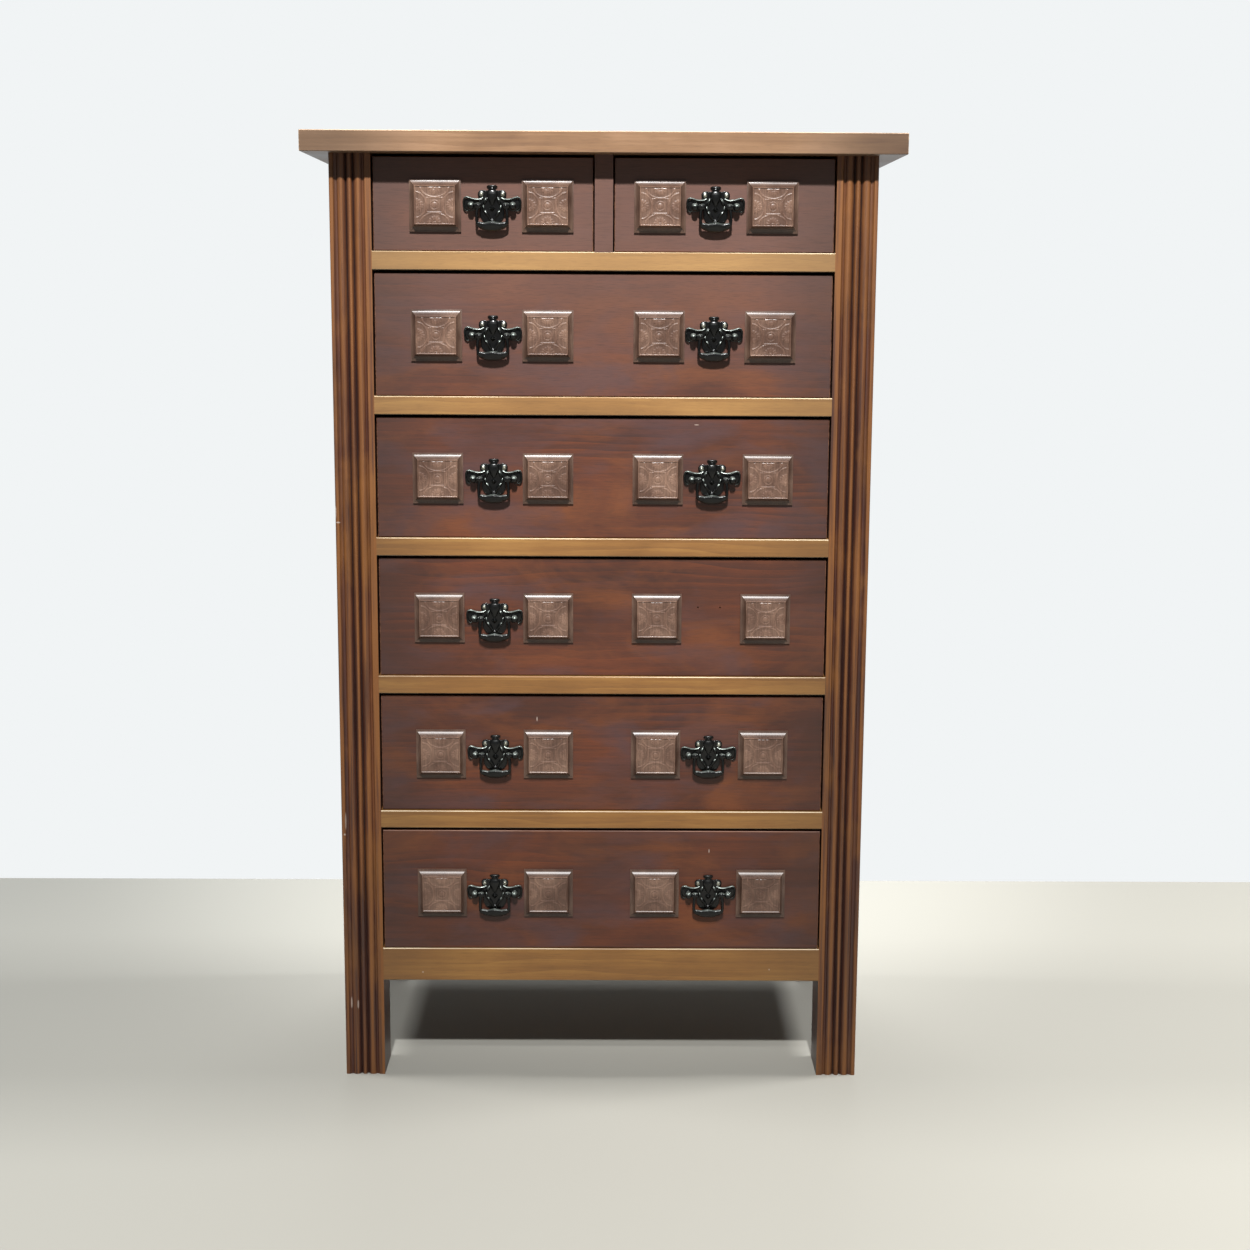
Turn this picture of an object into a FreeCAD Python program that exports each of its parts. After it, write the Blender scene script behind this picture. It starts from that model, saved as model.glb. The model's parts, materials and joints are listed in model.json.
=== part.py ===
import FreeCAD, Part
import math
import os

from FreeCAD import Vector

# Tall chest of drawers: two short drawers over five wide ones, between reeded posts.
# Millimetres. X runs to the right, Y to the back and Z up.
# The origin is on the floor, under the middle of the top board.

# Overall sizes
TOTAL_HEIGHT = 1243.0
CASE_WIDTH = 690.0
CASE_DEPTH = 392.0
BOARD_THICKNESS = 26.0
BOARD_SIDE_OVERHANG = 32.0
BOARD_FRONT_OVERHANG = 28.0
BOARD_ARRIS = 0.8

# Posts
POST_WIDTH = 52.5
POST_DEPTH = 66.0
REAR_POST_WIDTH = 45.0
REAR_POST_DEPTH = 30.0

# Reeding on the front face of a front post, from the outer edge inwards
CORNER_ROUND = 1.8
OUTER_FILLET = 5.0
OUTER_COVE = 4.5
WIDE_REED = 10.0
NARROW_REED = 6.0
V_GROOVE = 3.0
INNER_COVE = 3.5
REED_SINK = 2.8
V_SINK = 4.2

# Rails across the front
RAIL_HEIGHT = 23.5
RAIL_DEPTH = 40.0
FIRST_RAIL_TOP = 1097.0
RAIL_PITCH = 182.0
RAIL_COUNT = 5
RAIL_ARRIS = 1.0
BOTTOM_RAIL_TOP = 178.7
BOTTOM_RAIL_HEIGHT = 45.0
BOTTOM_RAIL_THICKNESS = 22.0
DIVIDER_WIDTH = 23.0
TENON_LENGTH = 20.0
TENON_SHOULDER = 7.0

# Sides, back and runners
SIDE_THICKNESS = 16.0
SIDE_SETBACK = 8.0
SIDE_TONGUE = 6.0
BACK_THICKNESS = 5.0
BACK_LAP = 22.0
REAR_RAIL_THICKNESS = 20.0
RUNNER_REACH = 24.5
GUIDE_HEIGHT = 20.0
CENTRE_RUNNER_WIDTH = 70.0
STOP_LENGTH = 9.0
STOP_HEIGHT = 14.0

# Drawers
DRAWER_GAP_SIDE = 2.0
DRAWER_GAP_TOP = 3.7
DRAWER_GAP_BOTTOM = 0.6
DRAWER_RECESS = 5.0
LOWEST_DRAWER_RECESS = 1.5
FRONT_THICKNESS = 18.0
FRONT_ARRIS = 0.8
BOX_BOARD = 10.0
BOX_LAP = 8.0
BOX_CLEAR_TOP = 14.0
BOX_CLEAR_RUNNER = 0.4
BOX_END = 170.5
BOX_BACK_INSET = 6.0
BOTTOM_THICKNESS = 4.0
BOTTOM_RISE = 9.0
BOTTOM_GROOVE = 5.0

# Carved blocks
BLOCK_SIZE = 65.0
BLOCK_HEIGHT = 10.5
BLOCK_LIP = 2.5
BLOCK_FACE_HALF_WIDTH = 25.5
BLOCK_FACE_HALF_HEIGHT = 23.75
COVE_PROFILE = ((0, 0), (0.46, 0.16), (0.8, 0.5), (1, 1))
BLOCK_X = (70.7, 212.3)
BLOCK_DROP = 2.2
TOP_BLOCK_DROP = 3.5
LOWEST_BLOCK_DROP = 5.6

# Pulls: x across, z up from the pull's centre, out from the wood
PULL_X = 140.5
LOWEST_PULL_X = 142.3
PLATE_THICKNESS = 2.4
PIVOT_OUT = 8.5
PIVOT_UP = -0.6
EAR_IN = 23.4
EAR_OUT = 29.8
EAR_RADIUS = 4.5
EAR_END_RADIUS = 3.2
BARREL_IN = 13.2
BARREL_OUT = 22.8
BARREL_RADIUS = 3.4
BARREL_END_RADIUS = 2.4
PIN_RADIUS = 1.5
PIN_PLAY = 0.15
PIN_END = 27.2
PIN_HOLE_END = 27.7
NAIL_X = 13.5
NAIL_UP = 14.5
LOBE_RADIUS = 4.4
LOBE_OUT = 3.2
CROWN_OUT = 4.0
SCROLL_OUT = 4.4
SHIELD_OUT = 5.0
CAST_SIDES = 8
ARM_SIDES = 6
PIN_SIDES = 8

# Holes left in the fourth row where a pull is missing
NAIL_HOLE_RADIUS = 1.1
NAIL_HOLE_DEPTH = 10.0
NAIL_HOLE_X = (124.6, 153.3)

# Derived places
BOARD_WIDTH = CASE_WIDTH + 2 * BOARD_SIDE_OVERHANG
BOARD_DEPTH = CASE_DEPTH + BOARD_FRONT_OVERHANG
BACK = BOARD_DEPTH / 2
FRONT = BACK - CASE_DEPTH
SIDE = CASE_WIDTH / 2
POST_TOP = TOTAL_HEIGHT - BOARD_THICKNESS
POST_INNER = SIDE - POST_WIDTH
POST_BACK = FRONT + POST_DEPTH
REAR_POST_FRONT = BACK - REAR_POST_DEPTH
REAR_POST_INNER = SIDE - REAR_POST_WIDTH
SIDE_OUTER = SIDE - SIDE_SETBACK
SIDE_INNER = SIDE_OUTER - SIDE_THICKNESS
BOTTOM_RAIL_BASE = BOTTOM_RAIL_TOP - BOTTOM_RAIL_HEIGHT
RAIL_TOPS = [FIRST_RAIL_TOP - RAIL_PITCH * row for row in range(RAIL_COUNT)]
BACK_PANEL_FRONT = BACK - BACK_THICKNESS
REAR_RAIL_FRONT = BACK_PANEL_FRONT - REAR_RAIL_THICKNESS

# Bottom and top of the opening of each row, from the top row down
OPENING_BOTTOMS = RAIL_TOPS + [BOTTOM_RAIL_TOP]
OPENING_TOPS = [POST_TOP] + [top - RAIL_HEIGHT for top in RAIL_TOPS]


def box(x0, x1, y0, y1, z0, z1):
    """A box between two corners."""
    return Part.makeBox(x1 - x0, y1 - y0, z1 - z0, Vector(x0, y0, z0))


def mirrored(shape):
    """The same piece on the other side of the middle."""
    return shape.mirror(Vector(0, 0, 0), Vector(1, 0, 0))


def both_sides(shape):
    """A piece and its mirror image, joined into one without a seam."""
    return shape.fuse(mirrored(shape)).removeSplitter()


def wire(start, steps):
    """A closed wire. A step is the next point, or a pair of points: one on the arc and its end."""
    edges = []
    here = start
    for step in steps:
        if isinstance(step, tuple):
            edges.append(Part.Arc(here, step[0], step[1]).toShape())
            here = step[1]
        else:
            edges.append(Part.makeLine(here, step))
            here = step
    edges.append(Part.makeLine(here, start))
    return Part.Wire(edges)


def prism(start, steps, along):
    """The solid that an outline leaves when it is moved along a vector."""
    return Part.Face(wire(start, steps)).extrude(along)


def save(node, *solids):
    """One STEP file for one node."""
    shape = solids[0] if len(solids) == 1 else Part.makeCompound(list(solids))
    shape.exportStep("parts/" + node + ".step")
    print(node, len(shape.Solids), round(shape.Volume / 1000.0, 1), "cm3", shape.isValid())


# Joinery

def rail_tenon(x_face, outward, y0, y1, z0, z1):
    """The tenon on one end of a rail, and so also its mortise in the post."""
    x_end = x_face + outward * TENON_LENGTH
    return box(min(x_face, x_end), max(x_face, x_end), y0, y1, z0, z1)


def drawer_rail_tenon(top, outward):
    """The tenon of a drawer rail, set in from all four sides of the rail."""
    return rail_tenon(outward * POST_INNER, outward, FRONT + TENON_SHOULDER,
                      FRONT + RAIL_DEPTH - TENON_SHOULDER,
                      top - RAIL_HEIGHT + TENON_SHOULDER, top - TENON_SHOULDER)


def bottom_rail_tenon(outward):
    """The tall thin tenon of the bottom rail."""
    return rail_tenon(outward * POST_INNER, outward, FRONT + TENON_SHOULDER,
                      FRONT + BOTTOM_RAIL_THICKNESS - TENON_SHOULDER,
                      BOTTOM_RAIL_BASE + TENON_SHOULDER, BOTTOM_RAIL_TOP - TENON_SHOULDER)


def divider_tenon():
    """The stub tenon that stands the divider on the first rail."""
    return box(-DIVIDER_WIDTH / 2 + TENON_SHOULDER, DIVIDER_WIDTH / 2 - TENON_SHOULDER,
               FRONT + TENON_SHOULDER, FRONT + RAIL_DEPTH - TENON_SHOULDER,
               FIRST_RAIL_TOP - TENON_SHOULDER, FIRST_RAIL_TOP)


# Carcass

def top_board():
    """Square-edged board with its arrises just broken."""
    board = box(-BOARD_WIDTH / 2, BOARD_WIDTH / 2, -BACK, BACK, POST_TOP, TOTAL_HEIGHT)
    return board.makeChamfer(BOARD_ARRIS, board.Edges)


def front_post():
    """Left front post: reeds between coves on its face, mortised for the rails, grooved for the side."""
    def at(inwards, sink):
        return Vector(-SIDE + inwards, FRONT + sink, 0)

    def reed(start, width):
        return (at(start + width / 2, 0), at(start + width, REED_SINK))

    steps = [(at(0.3 * CORNER_ROUND, 0.3 * CORNER_ROUND), at(CORNER_ROUND, 0)), at(OUTER_FILLET, 0)]
    u = OUTER_FILLET
    steps.append((at(u + 0.36 * OUTER_COVE, 0.66 * REED_SINK), at(u + OUTER_COVE, REED_SINK)))
    u += OUTER_COVE
    for width in (WIDE_REED, NARROW_REED):
        steps.append(reed(u, width))
        u += width
        steps.append(at(u + V_GROOVE / 2, V_SINK))
        steps.append(at(u + V_GROOVE, REED_SINK))
        u += V_GROOVE
    steps.append(reed(u, WIDE_REED))
    u += WIDE_REED
    steps.append((at(u + 0.64 * INNER_COVE, 0.66 * REED_SINK), at(u + INNER_COVE, 0)))
    steps += [at(POST_WIDTH, 0), at(POST_WIDTH, POST_DEPTH), at(0, POST_DEPTH)]
    post = prism(at(0, CORNER_ROUND), steps, Vector(0, 0, POST_TOP))

    cuts = [drawer_rail_tenon(top, -1) for top in RAIL_TOPS]
    cuts.append(bottom_rail_tenon(-1))
    cuts.append(box(-SIDE_OUTER, -SIDE_INNER, POST_BACK - SIDE_TONGUE, POST_BACK,
                    BOTTOM_RAIL_BASE, POST_TOP))
    return post.cut(cuts)


def rear_post():
    """Left rear post: grooved for the side, rebated for the back."""
    post = box(-SIDE, -REAR_POST_INNER, REAR_POST_FRONT, BACK, 0, POST_TOP)
    groove = box(-SIDE_OUTER, -SIDE_INNER, REAR_POST_FRONT, REAR_POST_FRONT + SIDE_TONGUE,
                 BOTTOM_RAIL_BASE, POST_TOP)
    rebate = box(-REAR_POST_INNER - BACK_LAP, -REAR_POST_INNER, BACK_PANEL_FRONT, BACK,
                 BOTTOM_RAIL_BASE, POST_TOP)
    return post.cut([groove, rebate])


def side_panel():
    """Left side board, its front and rear edges in the grooves of the posts."""
    return box(-SIDE_OUTER, -SIDE_INNER, POST_BACK - SIDE_TONGUE, REAR_POST_FRONT + SIDE_TONGUE,
               BOTTOM_RAIL_BASE, POST_TOP)


def back_panel():
    """Thin board in the rebates of the rear posts."""
    reach = REAR_POST_INNER + BACK_LAP
    return box(-reach, reach, BACK_PANEL_FRONT, BACK, BOTTOM_RAIL_BASE, POST_TOP)


def rear_rails():
    """Three rails between the rear posts: bottom, under the centre runner, and top."""
    heights = [(BOTTOM_RAIL_BASE, BOTTOM_RAIL_TOP),
               (FIRST_RAIL_TOP - RAIL_HEIGHT, FIRST_RAIL_TOP),
               (POST_TOP - BOTTOM_RAIL_HEIGHT, POST_TOP)]
    return [box(-REAR_POST_INNER, REAR_POST_INNER, REAR_RAIL_FRONT, BACK_PANEL_FRONT, low, high)
            for low, high in heights]


def rail_bar(top, height, depth):
    """A bar between the front posts whose two front arrises are worn round."""
    def at(back, up):
        return Vector(-POST_INNER, FRONT + back, top - height + up)

    steps = [at(0, height - RAIL_ARRIS), at(RAIL_ARRIS, height), at(depth, height), at(depth, 0),
             at(RAIL_ARRIS, 0)]
    return prism(at(0, RAIL_ARRIS), steps, Vector(2 * POST_INNER, 0, 0))


def drawer_rails():
    """The five rails between the rows. The first is mortised for the divider."""
    rails = []
    for top in RAIL_TOPS:
        rail = rail_bar(top, RAIL_HEIGHT, RAIL_DEPTH)
        rails.append(rail.fuse([drawer_rail_tenon(top, -1), drawer_rail_tenon(top, 1)]))
    rails[0] = rails[0].cut(divider_tenon())
    return rails


def bottom_rail():
    """The deeper rail under the lowest drawer."""
    rail = rail_bar(BOTTOM_RAIL_TOP, BOTTOM_RAIL_HEIGHT, BOTTOM_RAIL_THICKNESS)
    return rail.fuse([bottom_rail_tenon(-1), bottom_rail_tenon(1)])


def top_divider():
    """Upright between the two top drawers."""
    half = DIVIDER_WIDTH / 2
    upright = box(-half, half, FRONT, FRONT + RAIL_DEPTH, FIRST_RAIL_TOP, POST_TOP)
    return upright.fuse(divider_tenon())


def side_runners():
    """On each side of each row: a runner strip, a guide strip on it, and a stop block at its end."""
    inner = POST_INNER - RUNNER_REACH
    solids = []
    for top in OPENING_BOTTOMS:
        start = FRONT + (BOTTOM_RAIL_THICKNESS if top == BOTTOM_RAIL_TOP else RAIL_DEPTH)
        by_post = box(inner, POST_INNER, start, POST_BACK, top - RAIL_HEIGHT, top)
        by_side = box(inner, SIDE_INNER, POST_BACK, REAR_POST_FRONT, top - RAIL_HEIGHT, top)
        guide = box(POST_INNER, SIDE_INNER, POST_BACK, REAR_POST_FRONT, top, top + GUIDE_HEIGHT)
        stop = box(inner, POST_INNER, REAR_POST_FRONT - STOP_LENGTH, REAR_POST_FRONT,
                   top, top + STOP_HEIGHT)
        for piece in (by_post.fuse(by_side).removeSplitter(), guide, stop):
            solids += [piece, mirrored(piece)]
    return solids


def centre_runner():
    """The strip and guide in the middle that carry the inner sides of the two top drawers."""
    strip = box(-CENTRE_RUNNER_WIDTH / 2, CENTRE_RUNNER_WIDTH / 2, FRONT + RAIL_DEPTH, REAR_RAIL_FRONT,
                FIRST_RAIL_TOP - RAIL_HEIGHT, FIRST_RAIL_TOP)
    guide = box(-DIVIDER_WIDTH / 2, DIVIDER_WIDTH / 2, FRONT + RAIL_DEPTH, REAR_RAIL_FRONT,
                FIRST_RAIL_TOP, FIRST_RAIL_TOP + GUIDE_HEIGHT)
    return [strip, guide]


# Drawers

def drawer_front(x0, x1, face, z0, z1, groove_low):
    """Front board with broken arrises, lapped for the sides and grooved for the bottom."""
    front = box(x0, x1, face, face + FRONT_THICKNESS, z0, z1)
    face_edges = [edge for edge in front.Edges if edge.BoundBox.YMax < face + 0.001]
    front = front.makeChamfer(FRONT_ARRIS, face_edges)
    back = face + FRONT_THICKNESS
    laps = [box(x, x + BOX_BOARD, back - BOX_LAP, back, z0, z1) for x in (x0, x1 - BOX_BOARD)]
    groove = box(x0 + BOX_BOARD, x1 - BOX_BOARD, back - BOTTOM_GROOVE, back,
                 groove_low, groove_low + BOTTOM_THICKNESS)
    return front.cut(laps + [groove])


def drawer_box(x0, x1, face, z0, z1):
    """Two sides grooved for the bottom, and a back that stands on the bottom between them."""
    start = face + FRONT_THICKNESS - BOX_LAP
    groove_low = z0 + BOTTOM_RISE
    groove_high = groove_low + BOTTOM_THICKNESS
    sides = []
    for x, groove_x in ((x0, x0 + BOX_BOARD - BOTTOM_GROOVE), (x1 - BOX_BOARD, x1 - BOX_BOARD)):
        side = box(x, x + BOX_BOARD, start, BOX_END, z0, z1)
        groove = box(groove_x, groove_x + BOTTOM_GROOVE, start, BOX_END, groove_low, groove_high)
        sides.append(side.cut(groove))
    back = box(x0 + BOX_BOARD, x1 - BOX_BOARD, BOX_END - BOX_BACK_INSET - BOX_BOARD,
               BOX_END - BOX_BACK_INSET, groove_high, z1)
    return sides + [back]


def drawer_bottom(x0, x1, face, z0):
    """Thin board in the grooves of the front and sides, running under the back."""
    reach = BOX_BOARD - BOTTOM_GROOVE
    return box(x0 + reach, x1 - reach, face + FRONT_THICKNESS - BOTTOM_GROOVE, BOX_END,
               z0 + BOTTOM_RISE, z0 + BOTTOM_RISE + BOTTOM_THICKNESS)


def carved_block():
    """Square block whose coved edges meet at mitres and rise to an oblong face."""
    def coved_bar(face_half, across, along):
        def at(distance, out):
            return across * distance + Vector(0, -out, 0) - along * half

        cove = [(half - inwards * (half - face_half), BLOCK_LIP + rise * (BLOCK_HEIGHT - BLOCK_LIP))
                for inwards, rise in COVE_PROFILE]
        left = [at(-distance, out) for distance, out in cove]
        right = [at(distance, out) for distance, out in reversed(cove)]
        return prism(at(half, 0), [at(-half, 0)] + left + right, along * BLOCK_SIZE)

    half = BLOCK_SIZE / 2
    upright = coved_bar(BLOCK_FACE_HALF_WIDTH, Vector(1, 0, 0), Vector(0, 0, 1))
    level = coved_bar(BLOCK_FACE_HALF_HEIGHT, Vector(0, 0, 1), Vector(1, 0, 0))
    return upright.common(level)


# Pulls

def from_wood(x, z, out=0.0):
    """A point of a pull: x across, z up, and its distance out from the wood."""
    return Vector(x, -out, z)


def oval(centre, across, up, sides=CAST_SIDES):
    """Corners of a flat-sided oval, from its centre and its two half widths."""
    angles = [2 * math.pi * (corner + 0.5) / sides for corner in range(sides)]
    return [centre + across * math.cos(angle) + up * math.sin(angle) for angle in angles]


def facet(corners):
    """One flat face."""
    return Part.Face(Part.makePolygon(corners + corners[:1]))


def cast(sections):
    """A cast form with flat facets from each section to the next."""
    faces = [facet(sections[0]), facet(sections[-1])]
    for near, far in zip(sections, sections[1:]):
        for corner in range(len(near)):
            faces.append(facet([near[corner - 1], near[corner], far[corner]]))
            faces.append(facet([near[corner - 1], far[corner], far[corner - 1]]))
    return Part.makeSolid(Part.makeShell(faces))


def turned(stations, sides=CAST_SIDES):
    """A flat-sided turned form on the pivot axis, from places along it and the radius at each."""
    return cast([oval(from_wood(x, PIVOT_UP, PIVOT_OUT), Vector(0, radius, 0), Vector(0, 0, radius), sides)
                 for x, radius in stations])


def relief(out, corners):
    """A flat part of the casting, from its back to its height out from the wood."""
    return facet([from_wood(x, z) for x, z in corners]).extrude(Vector(0, -out, 0))


def raised(corners, top_corners, out):
    """A facetted boss on the plate, from its foot to its smaller top."""
    return cast([[from_wood(x, z, PLATE_THICKNESS) for x, z in corners],
                 [from_wood(x, z, out) for x, z in top_corners]])


def round_points(centre_x, centre_z, radius, first, last, count):
    """Points on an arc of an outline, by angles in degrees from the x axis."""
    angles = [math.radians(first + (last - first) * step / (count - 1)) for step in range(count)]
    return [(centre_x + radius * math.cos(a), centre_z + radius * math.sin(a)) for a in angles]


def pull_plate():
    """Cast plate: crown, shield, nail lobes, scrolled wings and two ears bored for the bail."""
    body = relief(PLATE_THICKNESS,
                  [(0, 20.6), (4.2, 19.6), (10, 16.4), (13.2, 7.2), (13.2, -7)]
                  + round_points(0, -10.2, 12.9, -12, -66, 3) + [(0, -23)])
    crown = relief(CROWN_OUT, [(0, 25.4), (5.4, 25.4), (7, 23.6), (4.2, 19.4), (0, 19.4)])
    lobe = relief(LOBE_OUT, round_points(NAIL_X, NAIL_UP, LOBE_RADIUS, 22.5, 337.5, 8))
    wing = relief(PLATE_THICKNESS,
                  [(12, 6.6), (22, 6.3)] + round_points(27.3, 1.0, 9.7, 60, -66, 6)
                  + [(31.4, -5.2), (12, -5.2)])
    scroll = relief(SCROLL_OUT, [(23.8, 5.4)] + round_points(27.3, 1.0, 8.3, 50, -40, 4) + [(23.8, -4.4)])
    middle = (EAR_IN + EAR_OUT) / 2
    ear = turned([(EAR_IN, EAR_END_RADIUS), (middle, EAR_RADIUS), (EAR_OUT, EAR_END_RADIUS)])
    bore_radius = (PIN_RADIUS + PIN_PLAY) / math.cos(math.pi / PIN_SIDES)
    bore = turned([(EAR_IN - 1, bore_radius), (PIN_HOLE_END, bore_radius)], PIN_SIDES)
    side = body.fuse([crown, lobe, wing, scroll, ear]).cut(bore)
    plate = both_sides(side)
    shield = raised([(4.2, 19.4), (6.2, 12), (0, 0.4), (-6.2, 12), (-4.2, 19.4)],
                    [(2.2, 17.8), (3.2, 12), (0, 5), (-3.2, 12), (-2.2, 17.8)], SHIELD_OUT)
    boss = raised([(0, 0.2), (3.4, -3.4), (0, -7), (-3.4, -3.4)],
                  [(0, -2.5), (0.9, -3.4), (0, -4.3), (-0.9, -3.4)], SHIELD_OUT)
    return plate.fuse([shield, boss]).removeSplitter()


def bail():
    """Drop handle: two barrels with pins, two bowed arms, and a swelling grip."""
    barrel = turned([(BARREL_IN, BARREL_END_RADIUS), (BARREL_IN + 2, BARREL_RADIUS),
                     (BARREL_OUT - 2, BARREL_RADIUS), (BARREL_OUT, BARREL_END_RADIUS)])
    pin = turned([(BARREL_OUT - 1, PIN_RADIUS), (PIN_END, PIN_RADIUS)], PIN_SIDES)

    # Each station of an arm: x, z, out, and half its width and depth
    arm = cast([oval(from_wood(x, z, out), Vector(wide, 0, 0), Vector(0, deep, 0), ARM_SIDES)
                for x, z, out, wide, deep in ((17.6, PIVOT_UP, PIVOT_OUT, 2.3, 2.2), (18.9, -7, 9.5, 2.1, 2.0),
                                              (19.2, -14, 10.1, 2.1, 2.0), (18.2, -22.5, 10.0, 2.2, 1.9))])

    # Each station of the grip: x, top, bottom, back and front of its section
    half_grip = [(20.4, -20.4, -24.2, 8.4, 11.2), (17.6, -19.9, -27.2, 6.9, 12.5),
                 (11.0, -20.9, -30.6, 6.0, 13.5), (0.0, -19.0, -32.2, 5.6, 14.0)]
    other_half = [(-x, top, bottom, back, front) for x, top, bottom, back, front in half_grip[-2::-1]]
    grip = cast([oval(from_wood(x, (top + bottom) / 2, (back + front) / 2),
                      Vector(0, (front - back) / 2, 0), Vector(0, 0, (top - bottom) / 2))
                 for x, top, bottom, back, front in half_grip + other_half])
    side = barrel.fuse([pin, arm])
    return grip.fuse([side, mirrored(side)]).removeSplitter()


def drawer_name(row, place):
    """The top row has two drawers, each of the others one."""
    return "drawer_top_" + place if row == 0 else "drawer_" + str(row + 1)


def save_drawer(row, place, x0, x1, block_xs, pulls):
    """All the pieces of one drawer, placed in its opening."""
    name = drawer_name(row, place)
    lowest = row == RAIL_COUNT
    bottom = OPENING_BOTTOMS[row]
    top = OPENING_TOPS[row]
    face = FRONT + (LOWEST_DRAWER_RECESS if lowest else DRAWER_RECESS)
    drop = TOP_BLOCK_DROP if row == 0 else LOWEST_BLOCK_DROP if lowest else BLOCK_DROP
    centre_z = (bottom + top) / 2 - drop

    box_low = bottom + BOX_CLEAR_RUNNER
    front = drawer_front(x0, x1, face, bottom + DRAWER_GAP_BOTTOM, top - DRAWER_GAP_TOP,
                         box_low + BOTTOM_RISE)
    if name == "drawer_4":
        for x in NAIL_HOLE_X:
            hole = relief(-NAIL_HOLE_DEPTH, round_points(x, NAIL_UP, NAIL_HOLE_RADIUS, 22.5, 337.5, 8))
            front = front.cut(hole.translated(Vector(0, face, centre_z)))
    save(name + "_front", front)
    save(name + "_box", *drawer_box(x0, x1, face, box_low, top - BOX_CLEAR_TOP))
    save(name + "_bottom", drawer_bottom(x0, x1, face, box_low))
    block = carved_block()
    save(name + "_blocks", *[block.translated(Vector(x, face, centre_z)) for x in block_xs])
    plate = pull_plate()
    save(name + "_pull_plates", *[plate.translated(Vector(x, face, centre_z)) for x in pulls.values()])
    for side, x in pulls.items():
        node = name + "_bail" if row == 0 else name + "_bail_" + side
        save(node, bail().translated(Vector(x, face, centre_z)))


save("top_board", top_board())
save("front_post_left", front_post())
save("front_post_right", mirrored(front_post()))
save("rear_post_left", rear_post())
save("rear_post_right", mirrored(rear_post()))
save("side_panel_left", side_panel())
save("side_panel_right", mirrored(side_panel()))
save("back_panel", back_panel())
save("rear_rails", *rear_rails())
save("drawer_rails", *drawer_rails())
save("bottom_rail", bottom_rail())
save("top_divider", top_divider())
save("side_runners", *side_runners())
save("centre_runner", *centre_runner())

wide = POST_INNER - DRAWER_GAP_SIDE
short = DIVIDER_WIDTH / 2 + DRAWER_GAP_SIDE
save_drawer(0, "left", -wide, -short, [-x for x in BLOCK_X], {"left": -PULL_X})
save_drawer(0, "right", short, wide, list(BLOCK_X), {"right": PULL_X})
for row in range(1, RAIL_COUNT + 1):
    pull_x = LOWEST_PULL_X if row == RAIL_COUNT else PULL_X
    pulls = {"left": -pull_x, "right": pull_x}
    if drawer_name(row, "") == "drawer_4":
        del pulls["right"]
    save_drawer(row, "", -wide, wide, [-x for x in BLOCK_X] + list(BLOCK_X), pulls)
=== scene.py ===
import bpy
import json
import math
from mathutils import Matrix, Vector, noise


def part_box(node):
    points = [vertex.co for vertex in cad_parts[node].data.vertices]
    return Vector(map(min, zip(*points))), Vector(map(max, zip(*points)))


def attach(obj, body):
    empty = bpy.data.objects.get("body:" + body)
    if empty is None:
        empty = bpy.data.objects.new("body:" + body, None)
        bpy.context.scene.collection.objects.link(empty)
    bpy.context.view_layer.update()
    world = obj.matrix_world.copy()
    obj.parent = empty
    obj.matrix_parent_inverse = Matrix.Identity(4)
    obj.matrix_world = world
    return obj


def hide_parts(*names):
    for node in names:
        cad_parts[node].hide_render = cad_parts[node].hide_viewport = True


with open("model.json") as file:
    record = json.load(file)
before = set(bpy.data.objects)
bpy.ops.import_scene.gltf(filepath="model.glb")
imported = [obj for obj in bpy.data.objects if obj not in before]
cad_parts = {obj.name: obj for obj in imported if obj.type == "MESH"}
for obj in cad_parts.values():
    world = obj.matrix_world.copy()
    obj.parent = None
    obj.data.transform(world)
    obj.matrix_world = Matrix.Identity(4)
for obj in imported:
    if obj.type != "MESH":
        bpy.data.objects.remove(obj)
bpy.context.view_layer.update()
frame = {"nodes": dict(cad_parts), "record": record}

# Sizes and places are in mm: X right, Y back and Z up, as in the construction.
MM = 0.001
nodes = frame["nodes"]
DRAWERS = ("drawer_top_left", "drawer_top_right", "drawer_2", "drawer_3", "drawer_4", "drawer_5", "drawer_6")
# How far right of the chest's middle the blocks of a row stand.
BLOCK_PLACES = (-212.3, -70.7, 70.7, 212.3)

# Carved block: half sizes of its back, its carved face and the sunk field in it, and how far each stands out.
BLOCK_HALF = 32.5
BLOCK_LIP = 2.5
BLOCK_OUT = 10.5
FACE_HALF_X = 25.5
FACE_HALF_Z = 23.75
RIM = 0.5
BORDER = 1.5
GROUND_SINK = 0.8
FIELD_X = FACE_HALF_X - BORDER
FIELD_Z = FACE_HALF_Z - BORDER
FIELD_CUTS = 70
# Its slope is hollow: it rises 16 degrees from the wood at the lip, and 72 degrees where it meets the face.
SLOPE_FOOT = math.radians(16)
SLOPE_HEAD = math.radians(72)
SLOPE_STEPS = 8

# The carving: how far each bow reaches from the border and spreads to each side, the shell inside it, and the
# square frame in the middle.
UPRIGHT_BOW = (12.9, 18.5)
SIDEWAYS_BOW = (13.8, 16.5)
SHELL_GAP = 3.6
SHELL_SPREAD = 8.6
PETALS = 7
SQUARE_HALF_X = 9.9
SQUARE_HALF_Z = 9.0
# About the mean of the two, which turns a share of the frame's size into mm.
SQUARE_MEAN = 9.4
RING_RADIUS = 5.6
BOSS_RADIUS = 3.8
BEAD_RADIUS = 2.6
# How far the carver's hand wavers, and in how many waves to a mm.
HAND_WOBBLE = 0.07
HAND_WAVES = 0.35
# How close to a plane a point counts as on it.
CLOSE = 0.02

# How pale the block's colour is, from 0 to 1: on the slope, round the field, on its ground and on the rim.
# The slope's low value is painted shade.
SLOPE_SHADED_PALE = 0.05
EDGE_PALE = 0.3
GROUND_PALE = 0.32
RIM_PALE = 1.0
# The height above the ground at which the colour would be paler by 1.
PALE_RISE = 0.9

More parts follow.
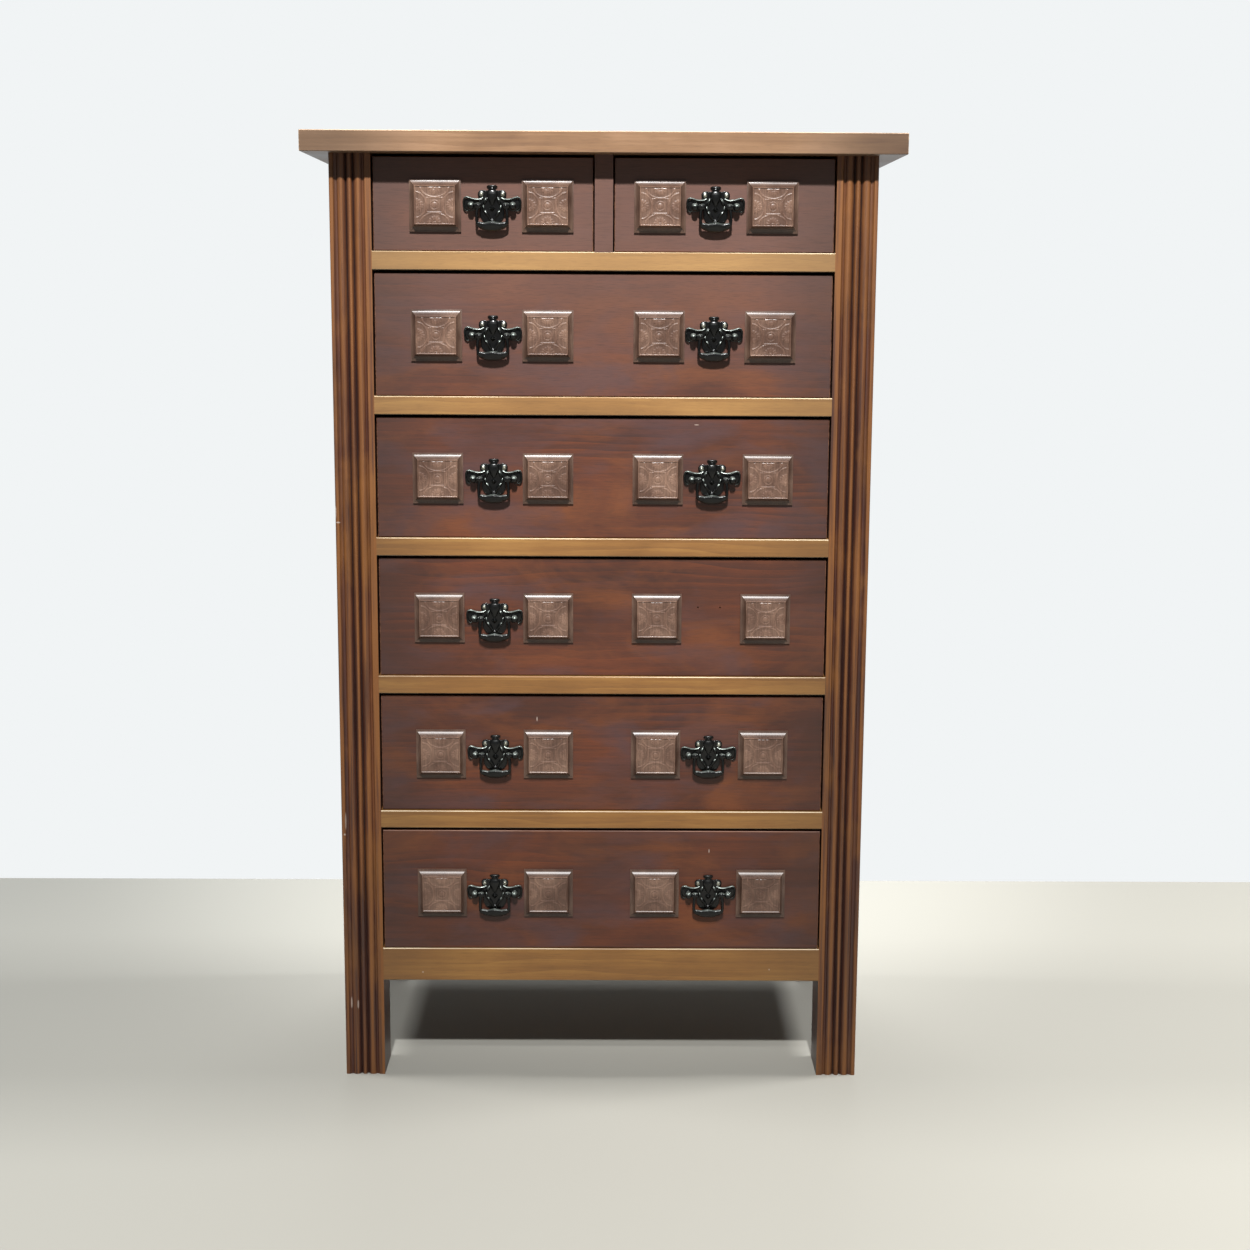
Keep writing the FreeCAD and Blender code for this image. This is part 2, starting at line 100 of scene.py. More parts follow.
# Bail pull, from the middle of the pull on the wood's face.
PIVOT_OUT = 8.5
PIVOT_RISE = -0.6
HINGE = (0, -PIVOT_OUT, PIVOT_RISE)
NAIL_ASIDE = 13.5
NAIL_RISE = 13.6
STEM_ASIDE = 26.4
PLATE_THICK = 2.2
PLATE_BOSS = (0, -4.0, -3.6)
PLATE_BOSS_RADIUS = 4.9
PLATE_BOSS_DEPTH = 4.4
WEB_OUT = 1.2
# How far out the rub and painted highlight on a casting and on a bail start, and how far aside the casting's
# middle ends.
PLATE_RUB_AND_HIGHLIGHT_OUT = 2.5
BAIL_RUB_AND_HIGHLIGHT_OUT = 8
PLATE_MIDDLE_HALF = 7
# The right half of the plate's outline, from its top to its foot.
PLATE_OUTLINE = ((0, 25.4), (4.8, 25.3), (7, 23.8), (4.4, 21.8), (4.2, 19.4), (8, 18.6), (11.4, 19.3),
                 (15.6, 18.6), (18, 15.8), (17.6, 12), (14.6, 10.2), (14, 6), (14.4, 1), (15, -4), (15.4, -9),
                 (14.6, -14), (11.6, -18.6), (6.6, -21.8), (0, -23))
# Swellings: right, up and out, half sizes across, out and up, and how far the top leans right, in degrees.
CROWN = (0, 23.9, 2.2, (6.2, 1.9, 1.5), 0)
KNOB = (0, 20.4, 2.0, (3.0, 2.2, 2.9), 0)
TAIL = (0, -19.4, 2.0, (2.6, 1.9, 3.2), 0)
NAIL_SEAT = (NAIL_ASIDE, NAIL_RISE, 1.4, (4.6, 2.0, 4.6), 0)
LEAVES = ((8.6, 5.6, 2.6, (2.0, 2.5, 4.6), -22), (6.6, -10.4, 2.3, (2.1, 2.4, 6.2), 36),
          (10.6, -4.4, 2.0, (1.6, 2.0, 5.2), 8), (3.4, -15.4, 2.1, (1.7, 1.9, 4.2), 30))
GRIP_SWELLING = (10.4, -25.6, 10.6, (4.2, 1.6, 1.9), 12)
# The smooth shield, broad under the crown and pointed above the boss: up, out, half width and half thickness.
SHIELD = ((19.6, 2.4, 2.6, 1.2), (17.6, 2.6, 5.6, 2.0), (14.6, 2.8, 6.9, 2.5), (10.6, 2.9, 6.0, 2.6),
          (6.4, 2.8, 4.2, 2.4), (2.8, 2.6, 2.4, 1.9), (0.4, 2.4, 0.8, 1.0))
# The wing's sunk web: right, up, half thickness and half height.
WEB = ((11, 2.6, 1.3, 6.0), (18, 1.8, 1.2, 6.0), (22, 0.8, 1.2, 7.0), (27, 0.6, 1.2, 7.6),
       (31, 1.4, 1.2, 7.6), (34, 2.4, 1.0, 5.8), (35.6, 3.4, 0.8, 2.6))
# The wing's ridge, which dips, flares to a tip, turns down and ends in a thin hook: right, up and out, the
# way it runs (right and up), and its half thicknesses.
RIDGE = ((11, 9.4, 1.8, (1, -0.4), 1.6, 1.5), (14.5, 7.6, 2.4, (1, -0.2), 1.8, 1.7),
         (19, 7.0, 3.0, (1, 0), 1.9, 1.8), (24, 7.6, 3.4, (1, 0.2), 1.9, 1.8),
         (28.5, 9.2, 3.7, (1, 0.35), 1.9, 1.7), (31.8, 10.2, 3.8, (1, 0.1), 1.8, 1.6),
         (34.2, 9.4, 3.7, (1, -0.8), 1.5, 1.5), (35.4, 7.2, 3.6, (0.3, -1), 1.3, 1.4),
         (35.9, 4.0, 3.4, (0.1, -1), 1.0, 1.4), (35.9, 0.4, 3.2, (0, -1), 0.9, 1.4),
         (35.4, -2.8, 2.9, (-0.3, -1), 0.9, 1.3), (34.2, -5.4, 2.6, (-0.8, -1), 0.9, 1.1),
         (32.2, -6.9, 2.2, (-1, -0.3), 1.0, 0.9), (30.4, -6.4, 1.7, (-1, 0.6), 0.9, 0.7))
# The stem of the ear: out, half width and half height.
STEM = ((0.8, 4.2, 4.4), (3.2, 3.0, 3.4), (8.0, 2.9, 3.6))
# The bail's arm: right, up and out, the way it runs (right and up), and its half thicknesses.
ARM = ((17.6, PIVOT_RISE, PIVOT_OUT, (0, -1), 2.2, 2.2), (18.9, -7, 9.5, (0.1, -1), 1.9, 2.0),
       (19.3, -13, 10.1, (0, -1), 1.7, 1.9), (19.2, -18, 10.1, (0, -1), 1.9, 1.9),
       (18.2, -23, 10.0, (0, -1), 2.0, 2.0))
# The bail's grip, from its right end to its middle: right, top, bottom, back and front.
GRIP = ((20.6, -21.2, -23.6, 8.8, 10.8), (18.6, -19.9, -26.4, 7.2, 12.2), (14.6, -20.0, -29.2, 6.3, 13.0),
        (9.5, -20.9, -31.0, 5.9, 13.6), (4.6, -20.0, -32.0, 5.7, 13.9), (0, -19.1, -32.2, 5.6, 14))
# Round parts, each as rings along its axis: how far along, and the radius.
EAR = ((22.9, 3.4), (23.7, 4.6), (26.2, 5.2), (28.8, 4.5), (30.4, 2.4))
BORE = ((21.5, 1.75), (28.2, 1.75))
PIN = ((16, 1.5), (27.2, 1.5))
BARREL = ((13.2, 1.8), (14.2, 3.3), (17.6, 4.1), (21.0, 3.1), (22.7, 2.3))
NAIL_HEAD = ((2.6, 2.6), (3.5, 2.75), (4.2, 2.3), (4.7, 1.5), (4.9, 0.6))


# Modelling by hand.

def put_tools_down():
    """Leaves edit mode and lets go of everything."""
    if bpy.context.object and bpy.context.object.mode != "OBJECT":
        bpy.ops.object.mode_set(mode="OBJECT")
    bpy.ops.object.select_all(action="DESELECT")


def take(*pieces):
    """Picks up these pieces alone, the first one in hand."""
    put_tools_down()
    for piece in pieces:
        piece.select_set(True)
    bpy.context.view_layer.objects.active = pieces[0]


def apply_modifier(piece, kind, **settings):
    """Works a modifier with these settings into a piece."""
    take(piece)
    modifier = piece.modifiers.new(kind.lower(), kind)
    for name, value in settings.items():
        setattr(modifier, name, value)
    bpy.ops.object.modifier_apply(modifier=modifier.name)


def shade(piece, degrees):
    """Shades a piece smooth, apart from the edges where it turns by more than so many degrees."""
    take(piece)
    bpy.ops.object.shade_smooth_by_angle(angle=math.radians(degrees))


def join(name, *pieces):
    """One piece of several, with its place in its mesh."""
    take(*pieces)
    if len(pieces) > 1:
        bpy.ops.object.join()
    bpy.ops.object.transform_apply(location=True, rotation=True, scale=True)
    whole = pieces[0]
    whole.name = name
    whole.data.name = name
    return whole


def drawn_out(rings, sides=12):
    """A rod drawn through rings, closed at its ends: each is (place, direction, half width, half height)."""
    put_tools_down()
    for number, (place, direction, half_width, half_height) in enumerate(rings):
        middle = Vector(place) * MM
        turn = Vector(direction).to_track_quat("Z", "Y")
        bpy.ops.mesh.primitive_circle_add(vertices=sides, radius=MM, location=middle,
                                          rotation=turn.to_euler())
        if number == 0:
            rod = bpy.context.object
            bpy.ops.object.transform_apply(location=True, rotation=True, scale=True)
            bpy.ops.object.mode_set(mode="EDIT")
            bpy.ops.mesh.select_mode(type="EDGE")
            bpy.ops.mesh.select_all(action="SELECT")
        bpy.ops.transform.resize(value=(half_width, half_height, 1), center_override=middle,
                                 orient_type="GLOBAL", orient_matrix=turn.to_matrix(),
                                 orient_matrix_type="GLOBAL")
    bpy.ops.mesh.select_all(action="SELECT")
    bpy.ops.mesh.bridge_edge_loops()
    bpy.ops.mesh.select_all(action="SELECT")
    bpy.ops.mesh.fill_holes(sides=0)
    bpy.ops.mesh.select_all(action="SELECT")
    bpy.ops.mesh.normals_make_consistent(inside=False)
    put_tools_down()
    return rod


def turned(foot, heading, profile, sides):
    """A round part on a straight axis: its profile is (distance from the foot, radius) pairs."""
    rings = []
    for along, radius in profile:
        place = [start + along * step for start, step in zip(foot, heading)]
        rings.append((place, heading, radius, radius))
    return drawn_out(rings, sides)


def fused(piece, voxel, soften, keep):
    """Melts touching shapes into one skin with soft inner corners, as a mould gives them."""
    apply_modifier(piece, "REMESH", mode="VOXEL", voxel_size=voxel * MM)
    apply_modifier(piece, "SMOOTH", factor=0.5, iterations=soften)
    apply_modifier(piece, "DECIMATE", ratio=keep)
    return piece


def note_rub_and_highlight(piece, rule):
    """Keeps how rubbed each point is, from 0 to 1, as the rule says.

    The rule is given how far the point lies to the right and out from the wood, and how much it looks up:
    real rub, and a painted highlight on the upper sides.
    """
    # The attribute holds rub and painted highlight together.
    rubbed = piece.data.attributes.new("rubbed", "FLOAT", "POINT")
    for number, point in enumerate(piece.data.vertices):
        share = rule(point.co.x / MM, -point.co.y / MM, point.normal.z)
        rubbed.data[number].value = max(0.0, min(1.0, share))


def set_down(pattern, name, body, places, replaced, material):
    """Copies of a pattern at these places, as one finished piece that rides on a drawer or bail."""
    copies = []
    for place in places:
        copy = pattern.copy()
        copy.data = pattern.data.copy()
        bpy.context.scene.collection.objects.link(copy)
        copy.location = Vector(place) * MM
        copies.append(copy)
    piece = join(name, *copies)
    piece.data.materials.clear()
    piece.data.materials.append(material)
    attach(piece, body)
    if replaced:
        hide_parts(replaced)


# Carved block.

def swell(distance, half_width, rise):
    """Half-round swelling: its rise on its line, and 0 at its edge."""
    return rise * math.sqrt(max(0.0, 1 - (distance / half_width) ** 2))


def carved_height(x, z):
    """How far the carving stands above its sunk ground, at a place on the field."""
    if abs(z) / FIELD_Z > abs(x) / FIELD_X:
        across, depth, (reach, spread) = x, FIELD_Z - abs(z), UPRIGHT_BOW
    else:
        across, depth, (reach, spread) = z, FIELD_X - abs(x), SIDEWAYS_BOW
    # The bowed fillet round each shell.
    bow = math.hypot(across / spread, depth / reach)
    fillet = swell((bow - 0.96) * reach, half_width=0.9, rise=0.45)
    # The shell: petals that fan out from a bead on the border. Its radii are shares of its own reach.
    shell_x, shell_y = across / SHELL_SPREAD, depth / (reach - SHELL_GAP)
    radius = math.hypot(shell_x, shell_y)
    crest = abs(math.sin(math.atan2(shell_y, shell_x) * PETALS))
    tip = 0.86 + 0.12 * crest
    petal = 0.0
    if 0.3 < radius < tip:
        petal = swell(radius - 0.62, half_width=tip - 0.6, rise=0.2 + 0.3 * crest ** 0.7)
    bead = swell(math.hypot(across, depth), half_width=BEAD_RADIUS, rise=0.5)
    # The square frame that the four bows touch, and the round boss in its ring.
    square = max(abs(x) / SQUARE_HALF_X, abs(z) / SQUARE_HALF_Z)
    square = swell((square - 1) * SQUARE_MEAN, half_width=0.8, rise=0.45)
    middle = math.hypot(x, z)
    ring = swell(middle - RING_RADIUS, half_width=0.7, rise=0.35)
    boss = swell(middle, half_width=BOSS_RADIUS, rise=0.7)
    return max(fillet, petal, bead, square, ring, boss)


def carve(block):
    """Raises the points of a block's field one by one, as a carver's cuts can't be had by subdividing alone.

    How pale each point is, is kept as well: darker on the slope as painted shade, and paler the higher the
    carving stands.
    """
    ground = -(BLOCK_OUT - GROUND_SINK)
    # The paleness kept per point: the slope is painted darker as shade, and the carving is paler the higher
    # it stands.
    stain = block.data.attributes.new("carving", "FLOAT", "POINT")
    for number, point in enumerate(block.data.vertices):
        x, y, z = point.co / MM
        pale = RIM_PALE if -y > BLOCK_OUT - CLOSE else SLOPE_SHADED_PALE
        if abs(y - ground) < CLOSE:
            pale = EDGE_PALE
            if abs(x) < FIELD_X - CLOSE and abs(z) < FIELD_Z - CLOSE:
                height = carved_height(x, z) + HAND_WOBBLE * noise.noise(Vector((x, z, 3)) * HAND_WAVES)
                point.co.y = (ground - height) * MM
                pale = max(0.0, min(1.0, GROUND_PALE + height / PALE_RISE))
        stain.data[number].value = pale


def make_block():
    """One block, its back on the plane of the wood and its carving towards the front."""
    put_tools_down()
    bpy.ops.mesh.primitive_plane_add(size=2 * BLOCK_HALF * MM, rotation=(math.pi / 2, 0, 0))
    block = bpy.context.object
    bpy.ops.object.transform_apply(location=True, rotation=True, scale=True)
    bpy.ops.object.mode_set(mode="EDIT")
    bpy.ops.mesh.select_mode(type="FACE")
    bpy.ops.mesh.select_all(action="SELECT")
    bpy.ops.mesh.extrude_region_move(TRANSFORM_OT_translate={"value": (0, -BLOCK_LIP * MM, 0)})
    width, height, away = BLOCK_HALF, BLOCK_HALF, BLOCK_LIP
    for step in range(1, SLOPE_STEPS + 1):
        angle = SLOPE_FOOT + (SLOPE_HEAD - SLOPE_FOOT) * step / SLOPE_STEPS
        inwards = (math.sin(angle) - math.sin(SLOPE_FOOT)) / (math.sin(SLOPE_HEAD) - math.sin(SLOPE_FOOT))
        outwards = (math.cos(SLOPE_FOOT) - math.cos(angle)) / (math.cos(SLOPE_FOOT) - math.cos(SLOPE_HEAD))
        new_width = BLOCK_HALF - (BLOCK_HALF - FACE_HALF_X) * inwards
        new_height = BLOCK_HALF - (BLOCK_HALF - FACE_HALF_Z) * inwards
        new_away = BLOCK_LIP + (BLOCK_OUT - BLOCK_LIP) * outwards
        bpy.ops.mesh.extrude_region_move(TRANSFORM_OT_translate={"value": (0, (away - new_away) * MM, 0)})
        bpy.ops.transform.resize(value=(new_width / width, 1, new_height / height),
                                 center_override=(0, -new_away * MM, 0))
        width, height, away = new_width, new_height, new_away
    bpy.ops.mesh.inset(thickness=RIM * MM)
    bpy.ops.mesh.inset(thickness=(BORDER - RIM) * MM)
    bpy.ops.transform.translate(value=(0, GROUND_SINK * MM, 0))
    bpy.ops.mesh.subdivide(number_cuts=FIELD_CUTS)
    bpy.ops.object.mode_set(mode="OBJECT")
    carve(block)
    bpy.ops.object.mode_set(mode="EDIT")
    bpy.ops.mesh.select_all(action="SELECT")
    bpy.ops.mesh.select_mode(type="EDGE")
    bpy.ops.mesh.fill_holes(sides=0)
    bpy.ops.mesh.normals_make_consistent(inside=False)
    shade(block, 38)
    return block


# Bail pull.

def out(x, height, distance):
    """A place on the pull: right of its middle, above it, and out from the wood."""
    return (x, -distance, height)


def pebble(swelling, side=1):
    """A rounded swelling of the pull's right half, or of its left half where side is -1."""
    right, up, away, halves, lean = swelling
    put_tools_down()
    bpy.ops.mesh.primitive_uv_sphere_add(segments=20, ring_count=12, radius=1,
                                         location=Vector(out(side * right, up, away)) * MM,
                                         rotation=(0, math.radians(side * lean), 0))
    shape = bpy.context.object
    shape.scale = Vector(halves) * MM
    return shape


def bent(stations, side):
    """A rod through these stations of the pull's right half, or of its left half where side is -1."""
    rings = []
    for right, up, away, (across, rise), half_width, half_height in stations:
        # A direction straight up or down has no side.
        heading = (side * across if across else 0, 0, rise)
        rings.append((out(side * right, up, away), heading, half_width, half_height))
    return drawn_out(rings)


def make_plate():
    """The outlined body of the casting."""
    outline = list(PLATE_OUTLINE) + [(-x, z) for x, z in reversed(PLATE_OUTLINE[1:-1])]
    put_tools_down()
    bpy.ops.mesh.primitive_circle_add(vertices=len(outline), radius=20 * MM, fill_type="NGON",
                                      rotation=(math.pi / 2, 0, 0))
    plate = bpy.context.object
    bpy.ops.object.transform_apply(location=True, rotation=True, scale=True)
    # The round plate's points move to the outline.
    for point, (x, z) in zip(plate.data.vertices, outline):
        point.co = Vector((x, 0, z)) * MM
    bpy.ops.object.mode_set(mode="EDIT")
    bpy.ops.mesh.select_all(action="SELECT")
    bpy.ops.mesh.extrude_region_move(TRANSFORM_OT_translate={"value": (0, -PLATE_THICK * MM, 0)})
    bpy.ops.mesh.select_all(action="SELECT")
    bpy.ops.mesh.normals_make_consistent(inside=False)
    put_tools_down()
    return plate


def make_boss():
    """The four-sided boss under the shield."""
    put_tools_down()
    bpy.ops.mesh.primitive_cone_add(vertices=4, radius1=PLATE_BOSS_RADIUS * MM, radius2=0,
                                    depth=PLATE_BOSS_DEPTH * MM, location=Vector(PLATE_BOSS) * MM,
                                    rotation=(math.pi / 2, 0, 0))
    return bpy.context.object


def make_wing(side):
    """Half of the casting: leaves, the seat of a nail, a wing of web and ridge, and the ear on its stem."""
    parts = [pebble(swelling, side) for swelling in (*LEAVES, NAIL_SEAT)]
    parts.append(drawn_out([(out(side * right, up, WEB_OUT), (side, 0, 0), half_thickness, half_height)
                            for right, up, half_thickness, half_height in WEB]))
    parts.append(bent(RIDGE, side))
    parts.append(turned(HINGE, (side, 0, 0), EAR, sides=20))
    parts.append(drawn_out([(out(side * STEM_ASIDE, PIVOT_RISE, away), (0, -1, 0), half_width, half_height)
                            for away, half_width, half_height in STEM]))
    return parts


def casting_rub_and_highlight(x, away, up):
    """Hands rub the wings more than the middle, and the low places stay black; the upper sides get a painted
    highlight.
    """
    if away <= PLATE_RUB_AND_HIGHLIGHT_OUT:
        return 0.0
    return (0.35 + up) * (0.3 if abs(x) < PLATE_MIDDLE_HALF else 1.0)


def make_casting():
    """The pull's plate: a body with crown, shield, boss and leaves, two hooked wings and two drilled ears."""
    shield = drawn_out([(out(0, up, away), (0, 0, -1), half_width, half_thickness)
                        for up, away, half_width, half_thickness in SHIELD], sides=16)
    middle = [make_plate(), pebble(CROWN), pebble(KNOB), shield, pebble(TAIL), make_boss()]
    casting = fused(join("casting", *middle, *make_wing(-1), *make_wing(1)), voxel=0.42, soften=3, keep=0.4)
    bores = [turned(HINGE, (side, 0, 0), BORE, sides=16) for side in (-1, 1)]
    drill = join("drill", *bores)
    apply_modifier(casting, "BOOLEAN", operation="DIFFERENCE", object=drill, solver="EXACT")
    bpy.data.objects.remove(drill)
    note_rub_and_highlight(casting, casting_rub_and_highlight)
    shade(casting, 50)
    return casting


def make_grip():
    """The crescent grip with a cupid's-bow top: fullest along its top, and falling back towards its foot."""
    rings = []
    for x, top, bottom, back, front in [(-right, *rest) for right, *rest in GRIP] + list(reversed(GRIP[:-1])):
        middle = out(x, (top + bottom) / 2, (back + front) / 2)
        rings.append((middle, (1, 0, 0), (front - back) / 2, (top - bottom) / 2))
    grip = drawn_out(rings, sides=16)
    # Below its fullest height it falls back, by these falls over this length, its front more than its back.
    fullest, length, core_out, front_fall, back_fall = -21, 11, 9, 3.6, 0.6
    for point in grip.data.vertices:
        low = max(0.0, (fullest - point.co.z / MM) / length)
        point.co.y += (front_fall if -point.co.y / MM > core_out else back_fall) * low * MM
    return grip


def bail_rub_and_highlight(x, away, up):
    """What looks upwards, the barrels and the upper edge of the grip, is painted grey as a highlight and as
    the rub of hands, and the grip's front stays black.
    """
    return 1.4 * up - 0.35 if away > BAIL_RUB_AND_HIGHLIGHT_OUT else 0.0


def make_bail():
    """The drop handle: two pins in their barrels, bowed arms and the grip with a swelling at each side."""
    parts = []
    for side in (-1, 1):
        for profile, sides in ((PIN, 16), (BARREL, 20)):
            parts.append(turned(HINGE, (side, 0, 0), profile, sides))
        parts.append(bent(ARM, side))
    parts.append(make_grip())
    for side in (-1, 1):
        parts.append(pebble(GRIP_SWELLING, side))
    bail = fused(join("bail", *parts), voxel=0.4, soften=2, keep=0.35)
    note_rub_and_highlight(bail, bail_rub_and_highlight)
    shade(bail, 50)
    return bail


def make_nails():
    """The two round nail heads that hold a plate."""
    nails = join("nails", *[turned(out(side * NAIL_ASIDE, NAIL_RISE, 0), (0, -1, 0), NAIL_HEAD, sides=20)
                            for side in (-1, 1)])
    shade(nails, 60)
    return nails


# Finishes.

def linear(code):
    """A colour written as an sRGB hex code, as linear light."""
    values = []
    for start in (0, 2, 4):
        value = int(code[start:start + 2], 16) / 255
        values.append(value / 12.92 if value <= 0.04045 else ((value + 0.055) / 1.055) ** 2.4)
    return (*values, 1.0)


def feed(material, target, inputs):
    """Gives a node its inputs, each a value or the output that feeds it."""
    for key, value in inputs.items():
        if isinstance(value, bpy.types.NodeSocket):
            material.node_tree.links.new(value, target.inputs[key])
        else:
            target.inputs[key].default_value = value


def node(material, kind, inputs=None, stops=None, **settings):
    """Adds one node: settings are its options, inputs as feed takes them, stops a ramp's colours."""
    made = material.node_tree.nodes.new("ShaderNode" + kind)
    for name, value in settings.items():
        setattr(made, name, value)
    feed(material, made, inputs or {})
    if stops:
        while len(made.color_ramp.elements) < len(stops):
            made.color_ramp.elements.new(0.5)
        for element, (position, colour) in zip(made.color_ramp.elements, stops):
            element.position = position
            element.color = colour
    return made


def new_material(name):
    """A material with its shader."""
    material = bpy.data.materials.new(name)
    material.use_nodes = True
    return material, material.node_tree.nodes["Principled BSDF"]


def looked_at(material):
    """1 where a thing is seen, mirrored in a gloss or seen through glass, and 0 where it only lends light."""
    paths = node(material, "LightPath").outputs
    seen = paths["Is Camera Ray"]
    for path in ("Is Glossy Ray", "Is Transmission Ray"):
        seen = node(material, "Math", {0: seen, 1: paths[path]}, operation="MAXIMUM").outputs[0]
    return seen


# Scuffs and chips on the front: across, up, half width and half height.
POST_MARKS = ((-344.6, 766, 1.2, 10), (-341.5, 752.5, 3.2, 1.2), (-336.5, 101, 1.1, 9), (-327.5, 99, 1.2, 7),
              (-339.5, 354, 0.9, 14), (-341, 336, 1.6, 1.6))
DRAWER_MARKS = ((143, 314.6, 0.8, 3.2), (-85.7, 492.9, 0.8, 3.6), (120, 880, 3.5, 0.6))
RAIL_MARKS = ((-239.6, 145.2, 1.6, 1.1), (226, 150, 1.0, 1.4))
MARK_COLOUR = linear("B8A698")
# The scuffs fade out within this depth, before and behind this plane near the chest's front.
MARK_DEPTH = 12
MARK_PLANE = -178

# Reeded posts, along Y: the rub on the crests ends at the flank, and grime with painted shade darkens the
# grooves between its start and end.
REED_CREST = -182.1
REED_FLANK = -180.2
GRIME_AND_SHADE_START = -179.6
GRIME_AND_SHADE_FULL = -178.0
GRIME_AND_SHADE_FADE = -177.2
GRIME_AND_SHADE_END = -175.2
# The most that the blotches add to how far aside a place counts, where the ends are darker.
ENDS_WANDER = 120

GRAIN_TURN = {"X": (0, 0, 0), "Y": (0, 0, math.pi / 2), "Z": (0, math.pi / 2, 0)}
# How far the figure jumps at most from one board to the next, in m: along the grain and across it.
BOARD_JUMPS = (3.0, 0.10, 0.16)
# Patterns in the wood: waves to a metre along the grain and across it, then detail and roughness. Streaks are
# 4 mm wide and 200 mm long, fibres 0.8 mm by 14 mm, and blotches of stain 90 mm wide.
RING_WANDER = (3.0, 9.0, 2.0, 0.5)
STREAKS = (5.0, 250.0, 3.0, 0.6)
FIBRES = (70.0, 1200.0, 2.0, 0.5)
BLOTCHES = (6.0, 12.0, 3.0, 0.55)
# The rings show in some places and fade in others.
RING_PATCHES = (4.0, 14.0, 1.0, 0.5)


def along_grain(material, local, pattern):
    """A pattern drawn out along the fibres."""
    along, across, detail, roughness = pattern
    scale = (along, across, across)
    drawn = node(material, "VectorMath", {0: local, 1: scale}, operation="MULTIPLY").outputs[0]
    return node(material, "TexNoise", {"Vector": drawn, "Scale": 1.0, "Detail": detail,
                                       "Roughness": roughness}).outputs


def board_place(material, place, height, grain, pitch):
    """A place in its own board, along the fibres first. The figure jumps from each board to the next."""
    board = node(material, "Math", {0: height, 1: 1 / (pitch * MM)}, operation="MULTIPLY").outputs[0]
    board = node(material, "Math", {0: board}, operation="FLOOR").outputs[0]
    lot = node(material, "TexWhiteNoise", {"W": board}, noise_dimensions="1D").outputs["Color"]
    jump = node(material, "VectorMath", {0: lot, 1: BOARD_JUMPS}, operation="MULTIPLY").outputs[0]
    local = node(material, "Mapping", {"Vector": place, "Rotation": GRAIN_TURN[grain]}).outputs[0]
    return node(material, "VectorMath", {0: local, 1: jump}, operation="ADD").outputs[0]


def growth_rings(material, local, ring_mm):
    """Growth rings, so many mm apart, that wander a little along the log."""
    wander = along_grain(material, local, RING_WANDER)["Color"]
    wander = node(material, "VectorMath", {0: wander, 1: (0.0, 0.05, 0.05)}, operation="MULTIPLY").outputs[0]
    log = node(material, "VectorMath", {0: local, 1: (0.06, 1.0, 1.0)}, operation="MULTIPLY").outputs[0]
    log = node(material, "VectorMath", {0: log, 1: wander}, operation="ADD").outputs[0]
    waves = math.tau / (20 * ring_mm * MM)
    return node(material, "TexWave", {"Vector": log, "Scale": waves, "Distortion": 4.0, "Detail": 3.0,
                                      "Detail Scale": 0.8},
                wave_type="RINGS", rings_direction="X", wave_profile="SAW").outputs["Fac"]


def reeds(material, colour, back, streaks, worn, grime_and_shade):
    """Reeded posts: the crests are rubbed golden, and the grooves behind them are darkened by old wax and
    grime and by painted shade.
    """
    crest = node(material, "MapRange", {"Value": back, "From Min": REED_CREST * MM, "To Min": 0.75,
                                        "From Max": REED_FLANK * MM, "To Max": 0.0}).outputs[0]
    patchy = node(material, "MapRange", {"Value": streaks, "From Min": 0.36, "From Max": 0.58, "To Min": 0.1,
                                         "To Max": 1.0}).outputs[0]
    crest = node(material, "Math", {0: crest, 1: patchy}, operation="MULTIPLY").outputs[0]
    colour = node(material, "Mix", {0: crest, 6: colour, 7: linear(worn)}, data_type="RGBA").outputs[2]
    # The grooves get grime and painted shade together.
    depth = node(material, "MapRange", {"Value": back, "From Min": GRIME_AND_SHADE_START * MM,
                                        "From Max": GRIME_AND_SHADE_FULL * MM},
                 interpolation_type="SMOOTHSTEP").outputs[0]
    shallow = node(material, "MapRange", {"Value": back, "From Min": GRIME_AND_SHADE_FADE * MM, "To Min": 1.0,
                                          "From Max": GRIME_AND_SHADE_END * MM, "To Max": 0.0}).outputs[0]
    groove = node(material, "Math", {0: depth, 1: shallow}, operation="MULTIPLY").outputs[0]
    return node(material, "Mix", {0: groove, 6: colour, 7: linear(grime_and_shade)}, data_type="RGBA").outputs[2]


def rubbed_arrises(material, colour, streaks, worn):
    """Wear on the arrises, which are the faces that lean between two of the chest's directions."""
    lean = node(material, "NewGeometry").outputs["True Normal"]
    lean = node(material, "VectorMath", {0: lean}, operation="ABSOLUTE").outputs[0]
    lean = node(material, "SeparateXYZ", {0: lean}).outputs
    widest = node(material, "Math", {0: lean[0], 1: lean[1]}, operation="MAXIMUM").outputs[0]
    widest = node(material, "Math", {0: widest, 1: lean[2]}, operation="MAXIMUM").outputs[0]
    edge = node(material, "MapRange", {"Value": widest, "From Min": 0.9, "From Max": 0.75}).outputs[0]
    patchy = node(material, "MapRange", {"Value": streaks, "From Min": 0.35, "From Max": 0.6}).outputs[0]
    rub = node(material, "Math", {0: edge, 1: patchy}, operation="MULTIPLY").outputs[0]
    return node(material, "Mix", {0: rub, 6: colour, 7: linear(worn)}, data_type="RGBA").outputs[2]


